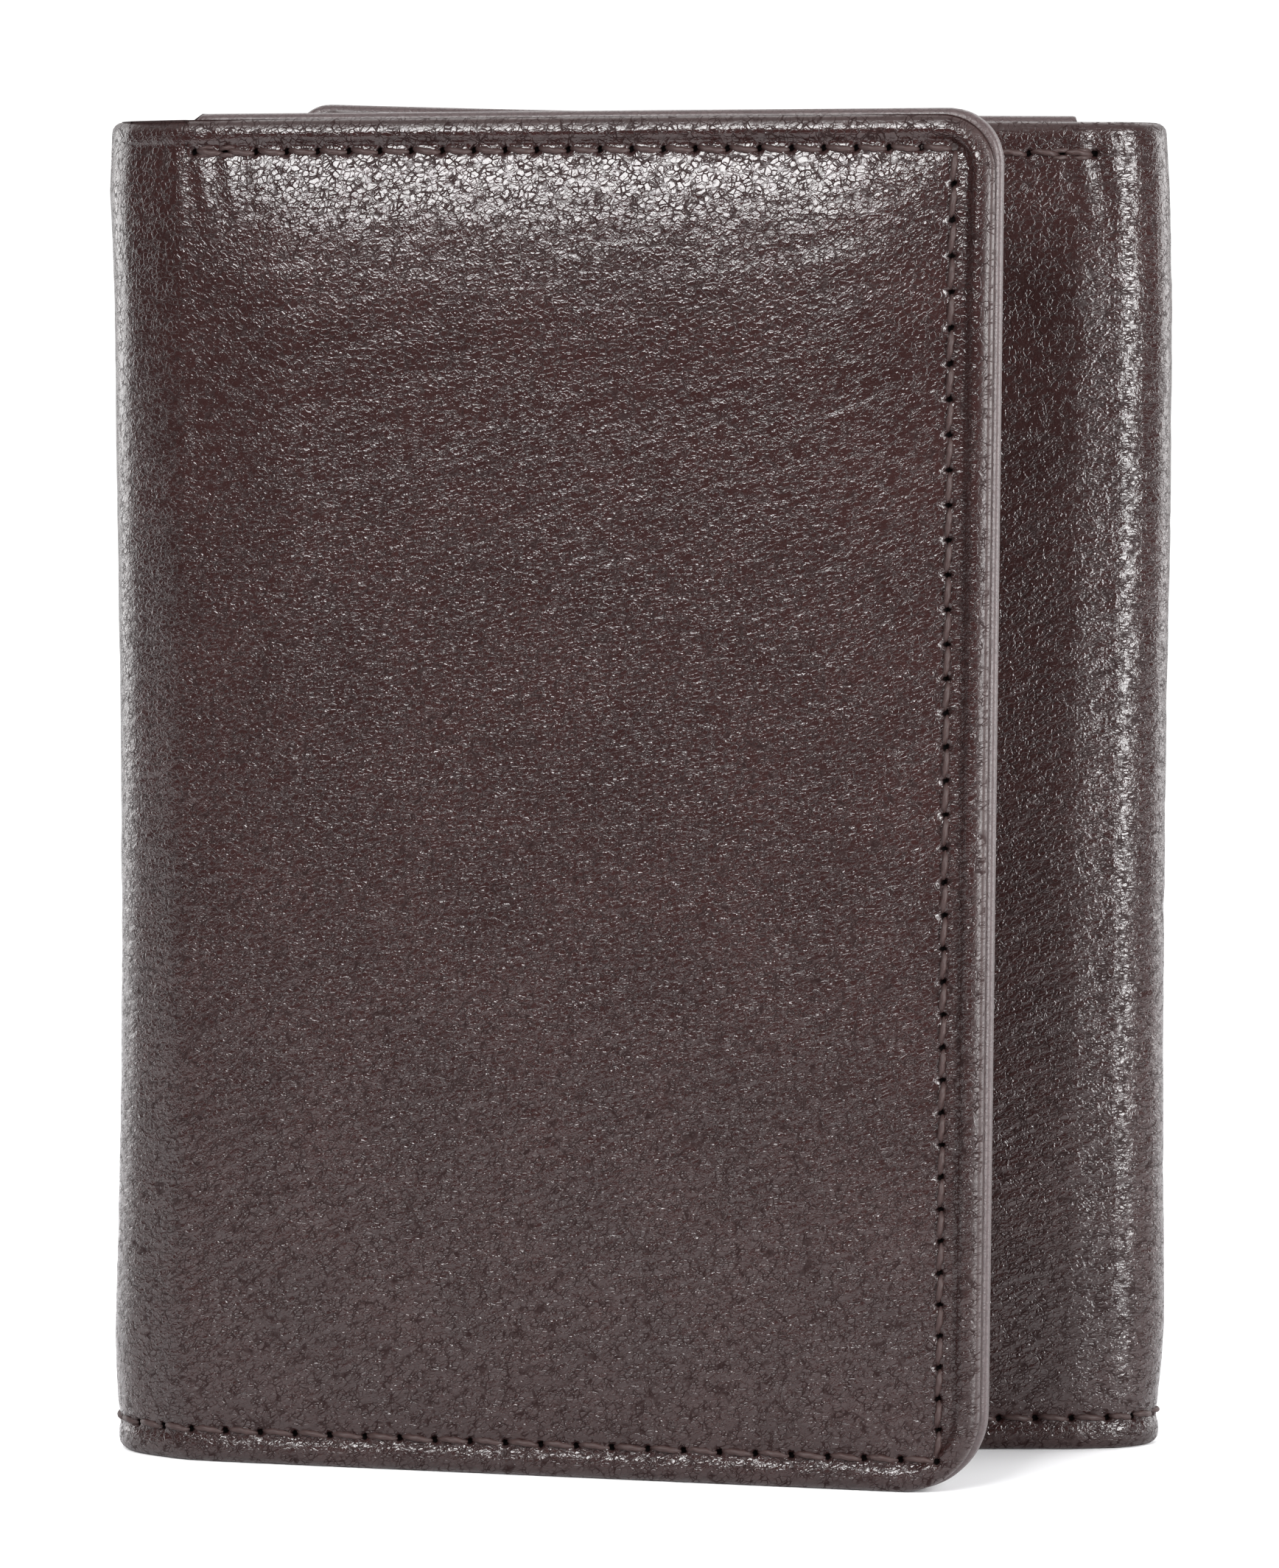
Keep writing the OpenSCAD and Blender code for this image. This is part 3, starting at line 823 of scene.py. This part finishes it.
def board_material():
    """Pressed board with flecks."""
    n = Nodes("pressed_board")
    place_in = n.add("ShaderNodeTexCoord").outputs["Object"]
    flecks = n.noise(place_in, 900.0, 3.0, 0.7)
    n.feed("Base Color", n.mix(flecks, (0.33, 0.26, 0.18, 1), (0.52, 0.44, 0.33, 1)))
    n.feed("Normal", n.bump(flecks, 0.00003))
    n.feed("Roughness", 0.85)
    return n.material


def film_material():
    """Clear soft film with faint scuffs."""
    n = Nodes("clear_film")
    place_in = n.add("ShaderNodeTexCoord").outputs["Object"]
    scuffs = n.noise(n.mapped(place_in, (0.0033, 0.0033, 0.016)), 1.0, 3.0)
    n.feed("Base Color", (0.45, 0.46, 0.47, 1))
    n.feed("Roughness", n.ramp(scuffs, 0.3, 0.8, 0.06, 0.22))
    n.feed("Normal", n.bump(n.noise(place_in, 60.0, 2.0), 0.0002))
    n.feed("Alpha", 0.1)
    return n.material


SHELL, INNER, THREAD = shell_leather(), inner_leather(), thread_material()
LINING, BOARD, FILM = lining_material(), board_material(), film_material()


# --- Shell leather ---


def heights(step):
    """Grid lines up the shell, closer at its edges and seams."""
    seams = [(at - 0.9, at + 0.9, 0.18) for at in (STITCH_BOTTOM, STITCH_TOP)]
    return lines(0, SHELL_H, EDGE_R, step, seams)


def make_shell():
    """The shell's outer leather: two flaps, the bends and the back."""
    # the flaps' grid lines fall on the top seam's holes
    on_holes = np.linspace(TACK_FRONT, STITCH_SIDE, (len(top_front) - 1) * 9 + 1)
    u = np.concatenate([[0, 0.3], on_holes, steps(STITCH_SIDE, SHELL_LEN - EDGE_R, 0.24)[1:],
                        (SHELL_LEN - near_edge(EDGE_R, 6)[:-1])[::-1]])
    front = hide("front_flap_shell", u, heights(0.3), HEM_T, Flap(False))
    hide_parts("front_flap_leather")
    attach(front, "front_flap")
    second = hide("second_flap_shell", (S_SECOND - u)[::-1], heights(0.32), HEM_T, Flap(True))
    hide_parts("second_flap_leather")
    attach(second, "second_flap")
    for name, (lo, hi, bend) in BENDS.items():
        obj = hide(name + "_shell", steps(lo, hi, 0.26), heights(0.34), SHELL_T)
        if name in STANDS_FOR:
            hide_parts(STANDS_FOR[name] + "_leather")
        bend(obj)
    back = hide("back_shell", steps(S_RIGHT, S_BACK, 0.42), heights(0.34), SHELL_T)
    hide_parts("back_panel_leather")
    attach(back, "centre_panel")


# --- Inner leather, card pockets, window and linings ---


def make_flap_inside(prefix, second):
    """Inner panel and card pockets of one flap."""
    flap = Flap(second)
    fine = [(2, 3.4, 0.2), (FLAP_LEN - 2.2, FLAP_LEN - 0.6, 0.2)]
    u0 = np.concatenate([steps(0, FLAP_LEN - 0.6, 0.8, fine), (FLAP_LEN - near_edge(0.6, 5)[:-1])[::-1]])
    z0 = lines(0, PANEL_H, 0.6, 0.9, [(0.6, 2.2, 0.2), (PANEL_H - 2.2, PANEL_H - 0.6, 0.2)])
    u, z = round_corners(*np.meshgrid(u0, z0, indexing="ij"), FLAP_LEN, PANEL_H, flap.radii)
    e = edge_distance(u, z, FLAP_LEN, PANEL_H, flap.radii)
    # next to its fold the second flap's panel starts lower, which shows as a notch
    notch = 2.9 if second else 0.15
    drop = (PANEL_H - SHELL_H + 0.25) * (1 - smooth((u - notch + 0.15) / 0.3))
    z = z - drop * smooth((z - 90) / 15)
    # the turned edge stands up round the free sides, with a crease inside it
    turned = 1.2 * smooth((1.5 - e) / 0.45) * smooth(u / 3)
    turned = turned - 0.1 * np.exp(-((e - 1.75) / 0.2) ** 2)
    panel = ply(prefix + "_inner_panel_leather", flap.s(u), z, e, HEM_T, PANEL_BACK + turned, 0.55,
                INNER, 3.0)
    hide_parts(prefix + "_inner_panel")
    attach(panel, prefix)
    start, foot = 3.0, POCKET_INSET
    r = flap.radii[1] - POCKET_INSET
    length = FLAP_LEN - POCKET_INSET
    for i, size in enumerate(("tall", "middle", "short")):
        top = POCKET_TOP - i * POCKET_STEP
        u0 = lines(start, length, 0.2, 1.0)
        z0 = lines(foot, top, 0.2, 1.1, [(top - 3, top - 0.2, 0.22)])
        u, z = np.meshgrid(u0, z0, indexing="ij")
        a, b = (u - (length - r)) / r, (foot + r - z) / r
        inside = (a > 0) & (b > 0)
        na, nb = disc(a, b)
        u, z = np.where(inside, length - r + na * r, u), np.where(inside, foot + r - nb * r, z)
        e = np.minimum(np.minimum(u - start, length - u), np.minimum(z - foot, top - z))
        e = np.where(inside, np.minimum(r - np.hypot(u - (length - r), foot + r - z), e), e)
        # each mouth gapes a little, under a turned hem
        gape = 0.16 * np.sin(PI * np.clip((u - start) / (length - start), 0, 1))
        gape = gape * np.clip((z - top + 14) / 14, 0, 1) ** 2
        hem = 0.12 * smooth((z - (top - 1.8)) / 0.3) - 0.13 * np.exp(-((top - 1.9 - z) / 0.25) ** 2)
        w0 = PANEL_BACK + 0.02 + i * PLY_T
        pocket = ply(prefix + "_" + size + "_pocket_leather", flap.s(u), z, np.maximum(e, 0), w0 + gape * 0.6,
                     w0 + PLY_T - 0.04 + gape + hem, 0.2, INNER, 20.0 + 9 * i)
        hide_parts(prefix + "_" + size + "_card_pocket")
        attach(pocket, prefix)


def centre_grid(x0, x1, z0, z1, r, step):
    """Grids of s and z over part of the centre panel, with the distance from its edge."""
    x, z = np.meshgrid(lines(x0, x1, r, step), lines(z0, z1, r, step), indexing="ij")
    return S_BACK - (x - LEFT_X), z, rect_edge(x, z)


def centre_ply(name, node, r, material, step, shape):
    """A flat sheet of the centre panel that fills a CAD node's box, moved in depth by shape."""
    a, b = low(node), high(node)
    s, z, e = centre_grid(a[0], b[0], a[2], b[2], r, step)
    move = shape(s, z)
    obj = ply(name, s, z, e, REAR_Y - b[1] + move, REAR_Y - a[1] + move, r, material, 40.0)
    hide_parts(node)
    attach(obj, "centre_panel")


def panel_wave(s, z):
    """Faint waves of the centre's inner panel."""
    return 0.05 * value_noise(s / 11, z / 14, 12)


def make_centre():
    """The note pocket's linings, the inner panel and the see-through card window."""
    for name in ("note_pocket_rear_lining", "note_pocket_front_lining"):
        centre_ply(name + "_cloth", name, 0.12, LINING, 1.5,
                   lambda s, z: 0.06 * value_noise(s / 9, z / 12, 11))
    s, z, _ = centre_grid(LEFT_X, RIGHT_X, 0, PANEL_H, 0.28, 0.8)
    # at the folds the panel's top drops to the shell's, like the flaps'
    from_end = np.minimum(S_BACK - s, s - S_RIGHT)
    e = rect_edge(s, z, ends=False)
    z = z - (PANEL_H - SHELL_H + 0.15) * (1 - smooth((from_end - 3.1) / 0.4)) * smooth((z - 90) / 15)
    # by both folds the panel comes down to the depth of the folds' inner leather
    down = (CENTRE_FRONT - HEM_T) * (smooth(from_end / 4.2) - 1)
    line = 0.1 * np.exp(-((PANEL_H - 1.9 - z) / 0.25) ** 2)
    shape = down - line + panel_wave(s, z)
    panel = ply("centre_inner_panel_leather", s, z, e, CENTRE_FRONT + shape, CENTRE_BACK + shape, 0.28,
                INNER, 55.0)
    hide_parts("centre_inner_panel")
    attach(panel, "centre_panel")
    make_window()


def rounded_rect(cx, cz, half_w, half_h, r):
    """Points round a rectangle with rounded corners, from its right side upwards."""
    out, count = [], 9
    for sx, sz, start in ((1, 1, 0), (-1, 1, 90), (-1, -1, 180), (1, -1, 270)):
        for a in np.radians(np.linspace(start, start + 90, count)):
            out.append((cx + sx * (half_w - r) + r * math.cos(a), cz + sz * (half_h - r) + r * math.sin(a)))
    out = np.array(out)
    # more points along the straight sides
    full = []
    for p, q in zip(out, np.roll(out, -1, 0)):
        n = max(1, int(round(np.hypot(*(q - p)) / 4)))
        full.extend(p + (q - p) * k / n for k in range(n))
    return np.array(full)


def make_window():
    """A leather frame with rounded edges and a groove inside them, over clear film."""
    a, b = low("id_window_frame"), high("id_window_frame")
    w0, w1 = REAR_Y - b[1], REAR_Y - a[1]
    centre_x, centre_z = (a[0] + b[0]) / 2, (a[2] + b[2]) / 2
    half_w, half_h = (b[0] - a[0]) / 2, (b[2] - a[2]) / 2
    side_bar = 9.0
    end_bar = 12.0
    outer = rounded_rect(centre_x, centre_z, half_w, half_h, 3.0)
    inner = rounded_rect(centre_x, centre_z, half_w - side_bar, half_h - end_bar, 4.0)
    # both loops need as many points: walk each by share of its length
    shares = np.linspace(0, 1, 240, endpoint=False)

    def walk(loop):
        """The loop's points at even shares of its length."""
        closed = np.concatenate([loop, loop[:1]])
        d = np.concatenate([[0], np.cumsum(np.hypot(*np.diff(closed, axis=0).T))])
        return np.stack([np.interp(shares * d[-1], d, closed[:, i]) for i in (0, 1)], 1)

    outer, inner = walk(outer), walk(inner)
    near = near_edge(0.02, 5)
    across = np.concatenate([near, [0.06, 0.1, 0.13, 0.16, 0.5, 0.84, 0.87, 0.9, 0.94], 1 - near[::-1]])
    thick = w1 - w0
    rings = []
    for face in (1, 0):
        for t in (across if face else across[::-1]):
            p = outer + (inner - outer) * t
            e = min(t, 1 - t) * side_bar
            rise = thick / 2 * math.sqrt(max(0.0, 1 - (1 - min(1.0, e / 0.22)) ** 2))
            groove = 0.09 * math.exp(-((e - 1.2) / 0.2) ** 2) if face else 0
            w = (w0 + w1) / 2 + (rise - groove if face else -rise)
            rings.append((p, w, e))
    n = len(shares)
    verts = np.concatenate([
        place(S_BACK - (p[:, 0] - LEFT_X), np.full(n, w), p[:, 1]) for p, w, e in rings])
    faces = []
    for i in range(len(rings)):
        j = (i + 1) % len(rings)
        ring_a, ring_b = np.arange(n) + i * n, np.arange(n) + j * n
        faces.extend(skirt(ring_a, ring_b).tolist())
    mid = len(across) // 2
    forwards = place(S_BACK - 30, 4, 50) - place(S_BACK - 30, 3, 50)
    faces = outward(faces[mid * n:] + faces[:mid * n], verts, forwards)
    marks = {"skin": np.concatenate([np.stack([p[:, 0], p[:, 1], np.full(n, 70.0)], 1) for p, w, e in rings]),
             "edge": np.concatenate([np.full(n, e) for p, w, e in rings]), "pit": np.zeros(len(verts))}
    frame_piece = build("id_window_frame_leather", verts, faces, INNER, marks)
    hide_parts("id_window_frame")
    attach(frame_piece, "centre_panel")
    centre_ply("id_window_clear_film", "id_window_film", 0.08, FILM, 2.0,
               lambda s, z: 0.02 + panel_wave(s, z))


def make_inner_bends():
    """The inner leather round both folds."""
    for name, (lo, hi, bend) in BENDS.items():
        s, z = np.meshgrid(steps(lo, hi, 0.4), lines(0, SHELL_H, 0.28, 1.0), indexing="ij")
        creases = 0.05 * value_noise(s / 1.1, z / 9, 21)
        obj = ply(name + "_inner_leather", s, z, rect_edge(s, z, ends=False), HEM_T, PANEL_BACK + creases,
                  0.28, INNER, 80.0)
        if name in STANDS_FOR:
            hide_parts(STANDS_FOR[name] + "_inner_leather")
        bend(obj)


def make_threads():
    """Every seam and the bar tacks."""
    line = STITCH_LINES
    tack = 3.6
    for second in (False, True):
        prefix = "second_flap" if second else "front_flap"
        suffix = "second" if second else "front"
        lo, hi = (-1e3, S_SECOND) if second else (0.0, 1e3)
        rows = [line["top_" + suffix], between(line["bottom"], lo, hi), line["side_" + suffix]]
        stitched(prefix + "_threads", rows, outer_face, prefix + "_stitching", rider(prefix))
        stitched(prefix + "_inner_threads", rows, inner_face, None, rider(prefix))
        start = TACK_SECOND if second else TACK_FRONT
        way = -1 if second else 1
        tops = np.array([
            (start + way * (0.1 + 1.75 * i), STITCH_TOP + dz) for i in range(2) for dz in (-0.3, 0.28)])
        ends = tops + np.array([way * tack / 2, 0.0])
        obj = threads(prefix + "_bar_tack_threads", tops, ends, outer_face, TACK_R, 0.5)
        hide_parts(prefix + "_bar_tack")
        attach(obj, prefix)
    stitched("centre_bottom_threads", [between(line["bottom"], S_RIGHT, S_BACK)], outer_face,
             "centre_bottom_stitching", rider("centre_panel"))
    for name, (lo, hi, bend) in BENDS.items():
        part = between(line["bottom"], lo, hi)
        node = STANDS_FOR[name] + "_stitching" if name in STANDS_FOR else None
        stitched(name + "_threads", [part], outer_face, node, bend)


make_shell()
make_flap_inside("front_flap", False)
make_flap_inside("second_flap", True)
make_centre()
make_inner_bends()
make_threads()
for stiffener in ("front_flap_stiffener", "second_flap_stiffener"):
    node = frame["nodes"][stiffener]
    node.data.materials.clear()
    node.data.materials.append(BOARD)


# --- Floor, light and camera ---


def make_floor():
    """A pale floor that ends a little in front of the wallet, so that the leather mirrors less of it."""
    size, front = 0.55, 0.13
    mesh = bpy.data.meshes.new("floor")
    corners = [(-size, -front, 0), (size, -front, 0), (size, size, 0), (-size, size, 0)]
    mesh.from_pydata(corners, [], [(0, 1, 2, 3)])
    n = Nodes("pale_floor")
    n.feed("Base Color", (0.93, 0.93, 0.945, 1))
    n.feed("Roughness", 0.9)
    mesh.materials.append(n.material)
    add_object("floor", mesh)


def aimed(obj, at, way):
    """Puts a lamp or camera at a place, looking along way."""
    obj.location = at
    obj.rotation_mode = "QUATERNION"
    obj.rotation_quaternion = way.to_track_quat("-Z", "Y")


def area_light(name, at, aim, width, height, radiance):
    """A softbox that shows as radiance to whatever mirrors it."""
    data = bpy.data.lights.new(name, "AREA")
    data.shape = "RECTANGLE"
    data.size, data.size_y, data.energy = width, height, radiance * PI * width * height
    aimed(add_object(name, data), Vector(at), Vector(aim) - Vector(at))


def around(azimuth, elevation, distance):
    """A place in front of the wallet; azimuth grows to the right."""
    a, e = math.radians(azimuth), math.radians(elevation)
    out = distance * math.cos(e)
    return out * math.sin(a), -out * math.cos(a), 0.054 + distance * math.sin(e)


def make_studio():
    """Floor, surroundings and softboxes."""
    make_floor()
    world = bpy.data.worlds.new("studio")
    bpy.context.scene.world = world
    world.use_nodes = True
    tree = world.node_tree
    background = tree.nodes["Background"]
    # white behind the wallet, dark round the camera
    coordinate = tree.nodes.new("ShaderNodeTexCoord")
    separate = tree.nodes.new("ShaderNodeSeparateXYZ")
    tree.links.new(coordinate.outputs["Generated"], separate.inputs[0])
    ramp = tree.nodes.new("ShaderNodeMapRange")
    ramp.interpolation_type = "SMOOTHSTEP"
    tree.links.new(separate.outputs["Y"], ramp.inputs["Value"])
    for key, value in (("From Min", -0.1), ("From Max", 0.35), ("To Min", 0.05), ("To Max", 1.1)):
        ramp.inputs[key].default_value = value
    tree.links.new(ramp.outputs[0], background.inputs["Strength"])
    background.inputs["Color"].default_value = (1, 1, 1, 1)
    area_light("overhead", (0, -0.05, 0.8), (0, -0.05, 0), 1.0, 1.0, 0.8)
    area_light("floor_wash", (0, 0.5, 0.5), (0, 0.45, 0), 0.9, 0.4, 2.0)
    area_light("top_softbox", around(-28, 30, 0.62), (0, 0, 0.07), 0.32, 0.2, 25)
    area_light("right_softbox", around(42, 6, 0.6), (0.035, 0, 0.06), 0.15, 0.6, 26)
    area_light("left_rim_light", around(-122, 5, 0.6), (0, 0, 0.05), 0.35, 0.6, 4)
    area_light("right_rim_light", around(113, 5, 0.6), (0, 0, 0.05), 0.35, 0.6, 5)


def make_camera():
    """A long lens, a little above the wallet's middle and square to its back."""
    data = bpy.data.cameras.new("camera")
    obj = add_object("camera", data)
    data.sensor_width = 36
    data.lens = 148.2
    data.clip_start, data.clip_end = 0.05, 10
    distance, elevation = 0.523, math.radians(4.07)
    target = Vector((0, (REAR_Y - LEFT_R) / 1000, SHELL_H / 2000 + 0.0004))
    back = Vector((0, -math.cos(elevation), math.sin(elevation)))
    aimed(obj, target + back * distance, -back)
    bpy.context.scene.camera = obj


make_studio()
make_camera()
bpy.context.scene.view_settings.view_transform = "Standard"
